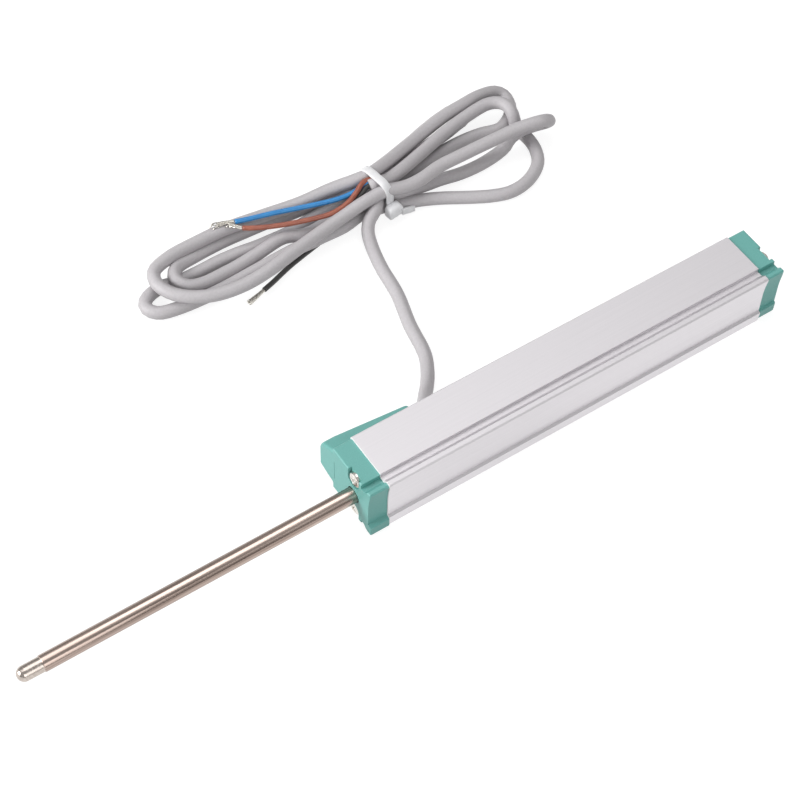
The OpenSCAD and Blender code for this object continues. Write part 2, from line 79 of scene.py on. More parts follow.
# The way of its middle in millimetres, from inside the duct to the end of the jacket
cable_way = np.array([
    (-46, 11, 9), (-41.2, 11, 9), (-38.3, 11.2, 8.2), (-36.2, 12.7, 7), (-34.1, 15, 5.4),
    (-32.1, 17.5, 3.8), (-29.2, 20.8, 2.4), (-26.5, 24.4, 1.9), (-23.6, 29.9, 1.9),
    (-21.3, 40.7, 1.9), (-18.2, 51.6, 1.9), (-16.7, 61.8, 1.9), (-14.7, 69.8, 2),
    (-13.3, 73.8, 3.2), (-11.6, 75.8, 4.9), (-8.7, 77.3, 6.1), (-3.9, 81.6, 6), (-0.2, 80.2, 5.6),
    (4.9, 79.8, 4.4), (10.1, 79.8, 3), (15.4, 79.8, 2.2), (21.8, 78.8, 1.9), (28.6, 78.5, 1.9),
    (35.2, 79.2, 2), (38.1, 79.4, 3.2), (39.8, 79.9, 4.7), (41.8, 80, 5.7), (44.4, 80.2, 5.9),
    (47.6, 80.4, 5.3), (51, 80.7, 4.2), (53, 80.4, 4), (53.3, 79.1, 5.6), (52.5, 77.9, 7.4),
    (50.9, 77, 9.2), (49, 76.9, 10.1), (44.8, 77.7, 10.2), (40.1, 78.5, 9.9), (35.4, 78.8, 9.5),
    (28.7, 79.2, 9.1), (21.9, 79.5, 8.7), (15, 79.6, 8.4), (7.2, 78.3, 8.4), (2, 78.5, 8.4),
    (-3.6, 79.7, 8.9), (-11, 79.7, 8.4), (-18.2, 79.2, 7.4), (-26.9, 77.9, 7), (-35.9, 76.2, 7),
    (-45.5, 74.3, 6.8), (-53.4, 74, 6.2), (-60.9, 75.3, 5.8), (-67.1, 78.1, 5.8),
    (-71.5, 82.4, 5.8), (-73.3, 87.5, 5.8), (-71.9, 91.6, 5.8), (-66.2, 93.6, 5.8),
    (-56.6, 94.4, 5.8), (-46.7, 94.3, 5.8), (-36.4, 92.9, 5.8), (-25.2, 90.9, 6.2),
    (-15.8, 89.7, 7.2), (-4.7, 87.2, 9.2), (3.1, 89.2, 8.3), (9, 91.2, 7.5), (18.1, 94.3, 6.3),
    (26.8, 96.7, 5.9), (30.9, 97.5, 5.8), (34.9, 98, 5.6), (43, 99.3, 4.5), (48.8, 99.2, 2.9),
    (50.6, 97.6, 2), (50.2, 94.2, 1.9), (48.4, 90.8, 1.9), (45.6, 88.4, 1.9), (41.8, 86.9, 1.9),
    (35.6, 88.4, 1.9), (28.8, 89, 1.9), (18.3, 88.5, 1.9), (8.4, 86.6, 2.2), (-4.2, 83.9, 2.7),
    (-12.1, 85, 2.2), (-19.7, 83.8, 1.9), (-28.7, 83, 1.9), (-35, 85.5, 1.9), (-44.5, 83.8, 1.9),
    (-52.8, 82.1, 1.9), (-61.2, 81.5, 1.9), (-66.1, 83.2, 1.9), (-67.8, 87, 1.9),
    (-65.2, 90.6, 1.9), (-59, 92.3, 1.9), (-49.8, 93.4, 1.9), (-41.8, 93.3, 1.9),
    (-33.9, 92.8, 1.9), (-24.9, 91.2, 2.4), (-15.5, 89.5, 4), (-4.5, 85.6, 6), (7.6, 88.9, 4),
    (18.6, 92.4, 1.9), (27.6, 94.1, 1.9), (31.6, 95.2, 1.9), (35.2, 96.2, 1.9), (36.9, 98.6, 1.9),
    (34.4, 100.5, 1.9), (29.8, 100.1, 1.9), (24.7, 99, 1.9), (15.7, 96.3, 1.9), (6.5, 92.6, 2.2),
    (-4.7, 87.5, 2.7), (-14.3, 87.8, 2.2), (-24.3, 86.7, 1.9), (-33.5, 84.9, 1.9),
    (-40.6, 85.6, 1.9), (-47.1, 87, 1.9), (-53.3, 87.8, 1.9), (-59.8, 87.8, 1.9),
    (-66.1, 88, 1.9), (-71.3, 88.8, 1.9), (-76.4, 87.8, 1.9), (-78.4, 85.9, 1.9),
    (-78.4, 83.6, 1.9), (-76.4, 81.4, 1.9), (-71.4, 80.3, 1.9), (-64.6, 80.1, 1.9),
    (-56.2, 80.5, 1.9), (-49.7, 80.1, 2.4), (-42.5, 79.6, 3.2), (-33.8, 79.8, 3.4),
    (-26, 79.5, 3.6), (-18.1, 79.3, 3.6), (-9.8, 81.6, 2.5), (-3.7, 80.1, 2.7), (1.5, 78.2, 2.3),
    (6.1, 76.9, 1.9), (11.6, 74.2, 1.9), (19, 69.8, 1.9), (24.7, 66.8, 1.9), (29.8, 65.2, 1.9),
    (34.5, 65.4, 1.9), (39.4, 67.2, 1.9), (43.4, 70.3, 1.9), (45.4, 74, 1.9), (46.2, 77.3, 1.9),
    (46.3, 80.4, 1.9), (45.9, 82.9, 1.9), (45.8, 84.9, 2.6), (45.7, 85.9, 4.3), (45.8, 87.1, 5.9),
    (46, 89.3, 6.6), (45.6, 91.4, 6.5), (44.4, 93, 6.3), (41.9, 94.1, 6.1), (38.8, 94.1, 6),
    (35.4, 93.7, 5.9), (31.4, 93, 5.9), (27.1, 92, 6), (22.7, 90.8, 6.1), (13.6, 87.7, 6.8),
    (4.7, 84.6, 7.8), (-0.8, 83.1, 8.4), (-4.1, 83.2, 9.2), (-6.6, 83.3, 9.2)]) / 1000


def evenly(line, step):
    """The same line with its points a step apart."""
    along = np.append(0, np.cumsum(np.linalg.norm(np.diff(line, axis=0), axis=1)))
    at = np.linspace(0, along[-1], max(2, round(along[-1] / step) + 1))
    return np.stack([np.interp(at, along, line[:, k]) for k in range(3)], 1)


def smooth_through(points, step):
    """A smooth line through all the points."""
    p = np.vstack([2 * points[0] - points[1], points, 2 * points[-1] - points[-2]])
    # Knots by the root of the distance keep the line from looping where points are close
    knots = np.append(0, np.cumsum(np.linalg.norm(np.diff(p, axis=0), axis=1) ** 0.5))
    parts_per_span = 16
    line = []
    for i in range(1, len(p) - 2):
        t0, t1, t2, t3 = knots[i - 1:i + 3]
        for t in np.linspace(t1, t2, parts_per_span, endpoint=False):
            a = (p[i - 1] * (t1 - t) + p[i] * (t - t0)) / (t1 - t0)
            b = (p[i] * (t2 - t) + p[i + 1] * (t - t1)) / (t2 - t1)
            c = (p[i + 1] * (t3 - t) + p[i + 2] * (t - t2)) / (t3 - t2)
            d = (a * (t2 - t) + b * (t - t0)) / (t2 - t0)
            e = (b * (t3 - t) + c * (t - t1)) / (t3 - t1)
            line.append((d * (t2 - t) + e * (t - t1)) / (t2 - t1))
    return evenly(np.array(line + [points[-1]]), step)


def settled(line, thick):
    """The line with its turns pushed about a thickness apart, on or above the floor."""
    rounds, last_rounds = 260, 40
    # Points nearer along the cable than this many thicknesses don't push each other
    near_by = 2.6
    # The lead keeps its way for 30 mm and is let go over the next 10 mm
    lead_held, lead_let_go = 0.030, 0.010
    # Stacked turns come to rest about 0.8 of a thickness apart, sunk a little into each other
    height_weight = 1.25
    # Each round takes this share of the push, and then gives back a little of the way
    push_share, kept_share = 0.28, 0.992
    step = np.linalg.norm(line[1] - line[0])
    order = np.arange(len(line))
    far = np.abs(order[:, None] - order[None, :]) > round(near_by * thick / step)
    free = np.clip((order * step - lead_held) / lead_let_go, 0, 1)[:, None]
    moved = np.zeros_like(line)
    for turn_no in range(rounds):
        now = line + moved
        gap = now[:, None, :] - now[None, :, :]
        gap[..., 2] *= height_weight
        length = np.linalg.norm(gap, axis=2) + 1e-9
        push = np.where(far & (length < thick), thick - length, 0)
        moved += push_share * (gap / length[..., None] * push[..., None]).sum(1) * free
        moved[:, 2] = np.maximum(moved[:, 2], thick / 2 - line[:, 2])
        soft = np.vstack([moved[:1], (moved[:-2] + 2 * moved[1:-1] + moved[2:]) / 4, moved[-1:]])
        moved = soft * (kept_share if turn_no < rounds - last_rounds else 1)
    now = line + moved
    now[:, 2] = np.maximum(now[:, 2], thick / 2)
    return now


def mesh_piece(name, points, faces, finish):
    """A new mesh object with one finish, shaded smooth."""
    mesh = bpy.data.meshes.new(name)
    mesh.from_pydata([tuple(p) for p in points], [], faces)
    mesh.polygons.foreach_set("use_smooth", [True] * len(faces))
    mesh.materials.append(finish)
    piece = bpy.data.objects.new(name, mesh)
    scene.collection.objects.link(piece)
    return piece


def skin(rows, sides):
    """Faces between rows of points that each go once round."""
    return [(r * sides + k, r * sides + (k + 1) % sides, (r + 1) * sides + (k + 1) % sides,
             (r + 1) * sides + k) for r in range(rows - 1) for k in range(sides)]


def strand(line, thick, sides):
    """Points and faces of a round strand along the line, closed at both ends."""
    ahead = np.gradient(line, axis=0)
    ahead /= np.linalg.norm(ahead, axis=1)[:, None]
    side = np.cross(ahead[0], (0, 0, 1))
    side /= np.linalg.norm(side)
    around = np.linspace(0, 2 * math.pi, sides, endpoint=False)[:, None]
    rings = []
    for middle, along in zip(line, ahead):
        side = side - along * side.dot(along)
        side /= np.linalg.norm(side)
        up = np.cross(side, along)
        rings.append(middle + thick / 2 * (np.cos(around) * side + np.sin(around) * up))
    last = (len(line) - 1) * sides
    ends = [tuple(range(sides))[::-1], tuple(range(last, last + sides))]
    return np.vstack(rings), skin(len(line), sides) + ends


def add(tree, kind, inputs=None, **settings):
    """A new node of that kind with its settings, its inputs set or linked."""
    node = tree.nodes.new("ShaderNode" + kind)
    for setting, value in settings.items():
        setattr(node, setting, value)
    for socket, value in (inputs or {}).items():
        if isinstance(value, bpy.types.NodeSocket):
            tree.links.new(value, node.inputs[socket])
        else:
            node.inputs[socket].default_value = value
    return node


def linear(code):
    """An sRGB hex colour as a linear colour."""
    parts = [int(code[i:i + 2], 16) / 255 for i in (1, 3, 5)]
    return [c / 12.92 if c <= 0.04045 else ((c + 0.055) / 1.055) ** 2.4 for c in parts] + [1]


def finish_of(name, colours, grain, rough, stretch=(1, 1, 1), bump=0.0, **shader):
    """A finish with its colour and gloss uneven in patches of grain metres, with that relief."""
    # The noise is seldom outside these, so both ends of the colours and the gloss are reached
    tint_from, tint_to, gloss_from, gloss_to = 0.32, 0.68, 0.3, 0.7
    finish = bpy.data.materials.new(name)
    finish.use_nodes = True
    tree = finish.node_tree
    tree.nodes.clear()
    place = add(tree, "TexCoord").outputs["Object"]
    scaled = add(tree, "Mapping", {"Vector": place, "Scale": [s / grain for s in stretch]})
    patches = add(tree, "TexNoise", {"Vector": scaled.outputs[0], "Scale": 1.0, "Detail": 4.0,
                                     "Roughness": 0.6}).outputs["Fac"]
    tint = add(tree, "ValToRGB", {"Fac": patches})
    ramp = tint.color_ramp
    ramp.elements[0].position, ramp.elements[1].position = tint_from, tint_to
    ramp.elements[0].color, ramp.elements[1].color = linear(colours[0]), linear(colours[1])
    gloss = add(tree, "MapRange", {"Value": patches, "From Min": gloss_from,
                                   "From Max": gloss_to, "To Min": rough[0],
                                   "To Max": rough[1]})
    body = add(tree, "BsdfPrincipled", {"Base Color": tint.outputs[0],
                                        "Roughness": gloss.outputs[0], **shader})
    if bump:
        relief = add(tree, "Bump", {"Height": patches, "Distance": bump, "Strength": 1.0})
        tree.links.new(relief.outputs[0], body.inputs["Normal"])
    add(tree, "OutputMaterial", {"Surface": body.outputs[0]})
    return finish


# Extruded soft PVC: a satin grey with a faint pink in it, a little uneven along its length
# from the drawing. The fine matt skin is drawn at 0.6 mm, because the real 0.1 mm can't show.
jacket_pvc = finish_of("grey_pvc_jacket", ("#b4b0b3", "#bbb8ba"), 0.0006, bump=0.00001,
                       rough=(0.44, 0.56), IOR=1.5)
# The turns are pushed apart until they lie beside and on each other, and the floor carries them
cable_line = settled(smooth_through(cable_way, cable_step), cable_d)
cable = mesh_piece("cable", *strand(cable_line, cable_d, cable_sides), jacket_pvc)
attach(cable, "housing")
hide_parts("cable_lead", "cable_hank")

# Cores
# Three stranded copper cores of 1.5 mm in coloured PVC, bare of the jacket from the tie on.
# Blue and brown lie on the turns. Black dives between them and comes out on the floor. Their
# ends are stripped, and the tinned wires are twisted and have come a little loose.
core_d, core_step, core_sides = 0.0015, 0.0008, 16
# The ways of their middles in millimetres, with the insulation on
core_ways = {
    "blue": [(-3, 83.4, 9.3), (-6, 84.2, 9.6), (-8.2, 84.6, 9.6), (-10.9, 83.9, 9.3),
             (-13.6, 84.1, 8.9), (-17.5, 84.8, 8.7), (-22.7, 86.4, 8.5), (-28.5, 88.3, 8.4),
             (-34.4, 90.2, 8.4), (-39.2, 91.5, 8.4), (-42.8, 92.5, 8.4), (-44.9, 93.2, 8.4)],
    "brown": [(-3, 83.6, 9.6), (-5, 84.6, 10.1), (-6.9, 85, 10.3), (-8.9, 84.3, 10.3),
              (-11.2, 83.1, 9.8), (-13.8, 82, 9.2), (-16.9, 81.3, 8.8), (-21.1, 81.3, 8.4),
              (-27.2, 82.9, 8.2), (-33.1, 84.8, 8.2), (-38.7, 87, 8.3), (-42.3, 88.8, 8.4),
              (-44.3, 90.1, 8.4)],
    "black": [(-3, 82.8, 9.2), (-6.9, 83.6, 9.4), (-9.5, 82.7, 8.8), (-13.3, 81.6, 7.4),
              (-18, 80.4, 4.6), (-23, 79.6, 2), (-29, 78.8, 0.8), (-36.8, 76.9, 0.8),
              (-40.9, 75.6, 0.8), (-44.4, 74.4, 0.8), (-47.8, 73.4, 0.8)],
}
# The ways of the stripped ends
wire_ways = {
    "blue": [(-44.9, 93.2, 8.4), (-47, 94.3, 8.3), (-50.2, 95.2, 8.0), (-53.8, 95.4, 7.8)],
    "brown": [(-44.3, 90.1, 8.4), (-45.6, 91.5, 8.5), (-47, 93, 8.4), (-49, 94.6, 8.2)],
    "black": [(-47.8, 73.4, 0.8), (-49.8, 72.8, 0.85), (-51.8, 72.2, 0.85), (-53.7, 71.7, 0.85)],
}
# Extruded PVC, glossy and even but for faint swings of the colour along 2 mm. Black is plain
# and a little more matt.
core_pvc = {
    "blue": finish_of("blue_pvc", ("#1f78ba", "#2f8ccc"), 0.002, rough=(0.26, 0.36), IOR=1.53),
    "brown": finish_of("brown_pvc", ("#8e4f3e", "#a45f4a"), 0.002, rough=(0.28, 0.38), IOR=1.53),
    "black": finish_of("black_pvc", ("#3a3939", "#464543"), 0.002, rough=(0.34, 0.44), IOR=1.53),
}
# Tinned copper: bright and a little yellow, uneven in its gloss where the tin ran. The patches
# are drawn at 0.4 mm, just wider than a wire.
tinned_copper = finish_of("tinned_copper", ("#c9c5bd", "#eae6de"), 0.0004, bump=0.00001,
                          rough=(0.2, 0.36), Metallic=1.0)
# The wires lie in a ring and go about once round it. In the black core they were twisted firmly
# and keep together, and in the other two they end and spread unevenly.
wire_count, wire_d, wire_step, wire_sides = 12, 0.00032, 0.0004, 6
wire_ring, wire_turns = 0.00042, 1.1
wires_spread_from = 0.25
firm_reach, firm_spread = 0.97, 0.00035
loose_reach, loose_spread, loose_place = (0.45, 1), (0.0003, 0.0011), (-0.03, 0.03)
drift = np.random.default_rng(7)
for core, way in core_ways.items():
    line = smooth_through(np.array(way, float) / 1000, core_step)
    line[:, 2] = np.maximum(line[:, 2], core_d / 2)
    piece = mesh_piece("core_wire_" + core, *strand(line, core_d, core_sides), core_pvc[core])
    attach(piece, "housing")
    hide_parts("core_" + core)
    middle = smooth_through(np.array(wire_ways[core], float) / 1000, wire_step)
    ahead = np.gradient(middle, axis=0)
    ahead /= np.linalg.norm(ahead, axis=1)[:, None]
    side = np.cross(ahead, (0, 0, 1))
    side /= np.linalg.norm(side, axis=1)[:, None]
    up = np.cross(side, ahead)
    points, faces = [], []
    for k in range(wire_count):
        firm = core == "black"
        ends = round(len(middle) * (firm_reach if firm else drift.uniform(*loose_reach)))
        share = np.linspace(0, ends / len(middle), ends)
        spread = firm_spread if firm else drift.uniform(*loose_spread)
        out = (wire_ring + spread * np.maximum(share - wires_spread_from, 0))[:, None]
        turned = k / wire_count + share * wire_turns + drift.uniform(*loose_place)
        angle = (2 * math.pi * turned)[:, None]
        wire = middle[:ends] + out * (np.cos(angle) * side[:ends] + np.sin(angle) * up[:ends])
        wire[:, 2] = np.maximum(wire[:, 2], wire_d / 2)
        p, f = strand(wire, wire_d, wire_sides)
        faces += [tuple(len(points) + i for i in face) for face in f]
        points += list(p)
    wires = mesh_piece("core_end_" + core, points, faces, tinned_copper)
    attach(wires, "housing")

# Tie
# A clear nylon tie of 2.5 mm round the waist of the hank: a moulded strap, rounded to the
# turns, its locking head at the near side, and the cut tail that comes out of the head.
tie_mid, tie_turn = Vector((-0.0042, 0.0838, 0)), math.radians(8)
tie_wide, tie_thick = 0.0025, 0.0008
waist_wide, waist_high, waist_round = 0.0114, 0.0104, 0.0034


def made_solid(piece):
    """The piece with doubled points joined and its faces turned outward."""
    bm = bmesh.new()
    bm.from_mesh(piece.data)
    bmesh.ops.remove_doubles(bm, verts=bm.verts, dist=1e-7)
    bmesh.ops.recalc_face_normals(bm, faces=bm.faces)
    bm.to_mesh(piece.data)
    bm.free()


def bevelled(name, points, faces, finish, width, segments):
    """A piece whose edges are rounded by that width."""
    sharp_angle = 0.5
    piece = mesh_piece(name, points, faces, finish)
    made_solid(piece)
    bm = bmesh.new()
    bm.from_mesh(piece.data)
    sharp = [e for e in bm.edges if len(e.link_faces) == 2 and e.calc_face_angle() > sharp_angle]
    bmesh.ops.bevel(bm, geom=sharp, offset=width, segments=segments, profile=0.5,
                    affect="EDGES", clamp_overlap=True)
    bm.to_mesh(piece.data)
    bm.free()
    piece.data.polygons.foreach_set("use_smooth", [True] * len(piece.data.polygons))
    return piece


def at_tie(p):
    """A point across, beside and above the tie, in the row frame."""
    x, s, z = p
    return (tie_mid.x + x * math.cos(tie_turn) - s * math.sin(tie_turn),
            tie_mid.y + x * math.sin(tie_turn) + s * math.cos(tie_turn), z)


# Natural nylon: milky and half clear, so light goes in a little way and the edges glow. The
# moulded skin is smooth, with a soft gloss and clouds of 3 mm that hardly show.
clear_nylon = finish_of("natural_nylon", ("#eeeef1", "#f6f6f8"), 0.003, rough=(0.26, 0.34),
                        IOR=1.53)
nylon = clear_nylon.node_tree.nodes["Principled BSDF"]
nylon.inputs["Subsurface Weight"].default_value = 0.5
nylon.inputs["Subsurface Radius"].default_value = (1, 1, 1)
nylon.inputs["Subsurface Scale"].default_value = 0.0012
nylon.inputs["Transmission Weight"].default_value = 0.12

# The strap goes round the waist with a rounded turn at each corner
corner_steps = 10
strap_way = []
for quarter, (sx, sz) in enumerate(((1, 1), (-1, 1), (-1, -1), (1, -1))):
    for step in range(corner_steps + 1):
        a = math.pi / 2 * (quarter + step / corner_steps)
        strap_way.append((sx * (waist_wide / 2 - waist_round),
                          sz * (waist_high / 2 - waist_round), math.cos(a), math.sin(a)))
section = [(-tie_wide / 2, 0), (-tie_wide / 2, tie_thick), (tie_wide / 2, tie_thick),
           (tie_wide / 2, 0)]
points = [at_tie((x, cs + ca * (waist_round + h),
                  tie_thick + waist_high / 2 + cz + sa * (waist_round + h)))
          for cs, cz, ca, sa in strap_way for x, h in section]
last = 4 * (len(strap_way) - 1)
faces = skin(len(strap_way), 4) + [
    (last + k, last + (k + 1) % 4, (k + 1) % 4, k) for k in range(4)]
strap = bevelled("tie_strap_band", points, faces, clear_nylon, width=0.0002, segments=2)
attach(strap, "housing")
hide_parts("tie_strap")

# The lock is a box with drawn-in top and bottom, and bites a little into the strap
head_deep, head_bite, head_over, head_shoulder = 0.0029, 0.0001, 0.0012, 0.0009
head_near = -waist_wide / 2 - tie_thick - head_deep
head_far = -waist_wide / 2 - tie_thick + head_bite
head_low, head_high, head_half = 0.0018, 0.006, tie_wide / 2 + head_over
box_ends = [(3, 2, 1, 0), (12, 13, 14, 15)]
points = []
for z, grow in ((head_low, -0.0005), (head_low + head_shoulder, 0),
                (head_high - head_shoulder, 0), (head_high, -0.0006)):
    points += [at_tie((x, s, z)) for x, s in (
        (-head_half - grow, head_near - grow), (head_half + grow, head_near - grow),
        (head_half + grow, head_far), (-head_half - grow, head_far))]
head = bevelled("tie_lock", points, skin(4, 4) + box_ends, clear_nylon, width=0.0007,
                segments=4)
# The tail leaves the lock sideways and droops to the floor
tail_low, tail_high, tail_out, floor_gap = 0.0006, 0.0029, 0.0032, 0.0002
tail_s = -waist_wide / 2 - tie_thick - tail_out
# Each row of it: how far across, and how much it is lifted
tail_rows = [(head_half - 0.0006, 0.0014), (head_half + 0.001, 0.0008),
             (head_half + 0.0026, 0.0001), (head_half + 0.0042, -0.0004)]
points = [at_tie((x, tail_s + h, max(z + lift, floor_gap))) for x, lift in tail_rows
          for h, z in ((0, tail_low), (tie_thick, tail_low), (tie_thick, tail_high),
                       (0, tail_high))]
tail = bevelled("tie_tail", points, skin(4, 4) + box_ends, clear_nylon, width=0.00015,
                segments=2)
for piece in (head, tail):
    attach(piece, "housing")
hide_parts("tie_head")
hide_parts("tie_head")

# Housing
# An aluminium extrusion of 18 mm square with its near wall scooped over a foot rail. It is
# etched and anodised natural silver, and its ends are sawn to length.


def dress(name, finish):
    """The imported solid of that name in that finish."""
    nodes[name].data.materials.clear()
    nodes[name].data.materials.append(finish)


# Etched and anodised aluminium: a pale satin metal. The press leaves faint die lines along it,
# 0.05 mm apart on the real one and drawn at 0.5 mm, because finer ones can't show.
anodised = finish_of("silver_anodised_aluminium", ("#e0dde0", "#e5e2e5"), 0.0005,
                     stretch=(0.01, 1, 1), bump=0.000001, rough=(0.5, 0.58), Metallic=1.0)
dress("housing_profile", anodised)

# End caps
# Two glass-filled PBT mouldings in teal. The front one carries the tapered duct for the cable
# along the far side. Each sits on its gasket, and two screws hold it on the profile.

# Moulded PBT from an eroded tool: an even teal with a fine matt grain of 0.1 mm, drawn at
# 0.3 mm, and a slight cloudiness from the filler.
teal_pbt = finish_of("teal_moulded_pbt", ("#5fa39c", "#6cada6"), 0.0003, bump=0.000008,
                     rough=(0.42, 0.52), IOR=1.55)
for name in ("front_cap", "rear_cap"):
    dress(name, teal_pbt)

# Gaskets
# Flat seals punched from silicone sheet of 0.2 mm. The front one is pale, and its edge is a
# bright rim before the profile: a painted highlight that stands for the light on the profile's
# sawn end. The rear one is dark and draws a thin line.

# Silicone sheet: matt, with a dusty bloom in patches of 0.5 mm
# The pale colour of the front sheet is painted highlight: the bright rim of the profile's sawn
# end
silicone_painted_highlight = finish_of("silicone_sheet_painted_highlight", ("#e9e9ea", "#f1f1f2"), 0.0005,
                          rough=(0.5, 0.6), IOR=1.41)
dark_silicone = finish_of("dark_silicone_sheet", ("#3f4443", "#4b504f"), 0.0005,
                          rough=(0.5, 0.62), IOR=1.41)
dress("rear_gasket", dark_silicone)
# The front one is punched to the profile's own section, so its edge is flush, and its pale
# colour paints the highlight of the profile's sawn end there
gasket_low, gasket_high = (Vector(c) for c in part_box("front_gasket"))
bm = bmesh.new()
bm.from_mesh(nodes["housing_profile"].data)
bm.transform(nodes["housing_profile"].matrix_world)
end_x = min(v.co.x for v in bm.verts)
near_enough = 1e-5
away = [f for f in bm.faces if any(v.co.x > end_x + near_enough for v in f.verts)]
bmesh.ops.delete(bm, geom=away, context="FACES")
grown = bmesh.ops.extrude_face_region(bm, geom=bm.faces[:])["geom"]
for v in bm.verts:
    v.co.x = gasket_high.x
for v in grown:
    if isinstance(v, bmesh.types.BMVert):
        v.co.x = gasket_low.x
bmesh.ops.recalc_face_normals(bm, faces=bm.faces)
mesh = bpy.data.meshes.new("front_gasket_punched")
bm.to_mesh(mesh)
bm.free()
# Pale sheet whose flush edge is a painted highlight at the joint
mesh.materials.append(silicone_painted_highlight)
gasket = bpy.data.objects.new("front_gasket_punched", mesh)
scene.collection.objects.link(gasket)
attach(gasket, "housing")
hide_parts("front_gasket")

# Screws
# Four pan-head screws, M2.5, cold-headed from steel and nickel plated, two in each cap. The
# driver's cross is struck into the head.
screw_r, screw_head_r, screw_head_t, screw_sides = 0.00125, 0.00225, 0.0011, 40
thread_pitch, thread_deep, point_taper = 0.00045, 0.00018, 0.0004
cross_long, cross_wide, cross_deep, cross_lift = 0.00125, 0.00042, 0.0008, 0.0002
# The cross narrows to its bottom. The front screws stopped at 20 degrees, the rear ones at 35.
cross_mouth, cross_bottom, front_turn, rear_turn = 1.12, 0.55, 20, 35
# Nickel plate: a bright, slightly warm metal with a soft gloss. The fine marks from tumbling
# are drawn at 0.6 mm, because the real ones can't show.
nickel = finish_of("nickel_plated_steel", ("#d8d4cc", "#efece6"), 0.0006, bump=0.000006,
                   rough=(0.16, 0.3), Metallic=1.0)
# The head's outline from its middle to its rim, in shares of its diameter and height
head_line = [(2 * screw_head_r * r, screw_head_t * x) for r, x in (
    (0, -1), (0.26, -1), (0.38, -0.93), (0.46, -0.75), (0.5, -0.45), (0.5, 0))]


def cross_prism(top, deep):
    """Points and faces of the driver's cross, tapered to its bottom."""
    outline = [(1, 1), (1, 3), (-1, 3), (-1, 1), (-3, 1), (-3, -1), (-1, -1), (-1, -3), (1, -3),
               (1, -1), (3, -1), (3, 1)]
    rows = [(x, size * (cross_wide / 2 if abs(y) == 1 else cross_long) * np.sign(y),
             size * (cross_wide / 2 if abs(z) == 1 else cross_long) * np.sign(z))
            for x, size in ((top, cross_mouth), (deep, cross_bottom)) for y, z in outline]
    n = len(outline)
    return rows, skin(2, n) + [tuple(range(n))[::-1], tuple(range(n, 2 * n))]


for name in ("front_screw_top", "front_screw_bottom", "rear_screw_top", "rear_screw_bottom"):
    low, high = (Vector(c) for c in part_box(name))
    at_front = name.startswith("front")
    outward = -1 if at_front else 1
    face_x, end_x = (low.x, high.x) if at_front else (high.x, low.x)
    seat_x = face_x - outward * screw_head_t
    mid_y, mid_z = (low.y + high.y) / 2, (low.z + high.z) / 2
    length = abs(end_x - seat_x)
    thread = [(screw_r - (thread_deep if k % 2 else 0), thread_pitch * k)
              for k in range(int(length / thread_pitch))]
    lathe = head_line + thread + [(screw_r - point_taper, length), (0, length)]
    around = [2 * math.pi * k / screw_sides for k in range(screw_sides)]
    points = [(seat_x - outward * x, mid_y + r * math.cos(a), mid_z + r * math.sin(a))
              for r, x in lathe for a in around]
    screw = mesh_piece(name + "_cut", points, skin(len(lathe), screw_sides), nickel)
    made_solid(screw)
    rows, faces = cross_prism(face_x + outward * cross_lift, face_x - outward * cross_deep)
    spin = Matrix.Rotation(math.radians(front_turn if at_front else rear_turn), 4, "X")
    rows = [spin @ Vector((0, y, z)) + Vector((x, mid_y, mid_z)) for x, y, z in rows]
    cutter = mesh_piece("cutter", rows, faces, nickel)
    made_solid(cutter)
    cut = screw.modifiers.new("cross", "BOOLEAN")
    cut.object, cut.operation, cut.solver = cutter, "DIFFERENCE", "EXACT"
    bpy.context.view_layer.update()
    done = bpy.data.meshes.new_from_object(
        screw.evaluated_get(bpy.context.evaluated_depsgraph_get()))
    screw.modifiers.clear()
    screw.data = done
    bpy.data.objects.remove(cutter)
    for face in done.polygons:
        face.use_smooth = False
    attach(screw, "housing")
    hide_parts(name)

# Plunger
# A stainless tube of 4.5 mm, drawn, ground and polished, with a turned tip pressed into its
# front end. It slides in the bushing and returns on its spring.

# Polished stainless: a warm, bright metal. Long streaks run down the tube in its colour, 0.2 mm
# wide on the real one and drawn at 1.2 mm, because finer ones can't show. They are partly the
# faint die lines that drawing leaves, and partly painted reflection: the bands from dark brown
# to pale are the light and dark of the room that the polished tube mirrors.
stainless = finish_of("stainless_painted_reflection_streaks", ("#7b6a61", "#d8c5bb"), 0.0012,
                      stretch=(0.012, 1, 1), bump=0.000002, rough=(0.14, 0.28), Metallic=1.0)
# Turned stainless: duller, with the tool's marks round it. They are 0.1 mm apart on the real
# one and drawn at 0.4 mm.
turned_stainless = finish_of("turned_stainless", ("#b5aaa2", "#cfc5bd"), 0.0005,
                             stretch=(1.2, 0.4, 0.4), bump=0.000004, rough=(0.18, 0.3),
                             Metallic=1.0)
# The tube's colour carries painted reflection streaks along its length
dress("rod_tube", stainless)
for name in ("rod_tip", "stop_collar", "spring_seat", "spring_guide", "cable_clamp"):
    dress(name, turned_stainless)

# Return spring
# A compression spring wound from 0.5 mm spring wire, inside the plunger from its seat to the
# flange of the guide pin. It shortens by the whole stroke when the plunger goes in.
spring_low, spring_high = (Vector(c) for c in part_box("return_spring"))
spring_wire, spring_sides, coils, points_per_coil = 0.0005, 8, 52, 12
spring_y, spring_z = (spring_low.y + spring_high.y) / 2, (spring_low.z + spring_high.z) / 2
spring_r = (spring_high.z - spring_low.z) / 2 - spring_wire / 2
spring_long = spring_high.x - spring_low.x
share = np.linspace(0, 1, coils * points_per_coil + 1)
# The two closed coils at each end lie side by side, in this share of the length
closed = 0.008
rise = np.interp(share, (0, 2 / coils, 1 - 2 / coils, 1), (0, closed, 1 - closed, 1))
angle = 2 * math.pi * coils * share
spring_line = np.stack([spring_low.x + spring_wire / 2 + rise * (spring_long - spring_wire),
                        spring_y + spring_r * np.cos(angle),
                        spring_z + spring_r * np.sin(angle)], 1)
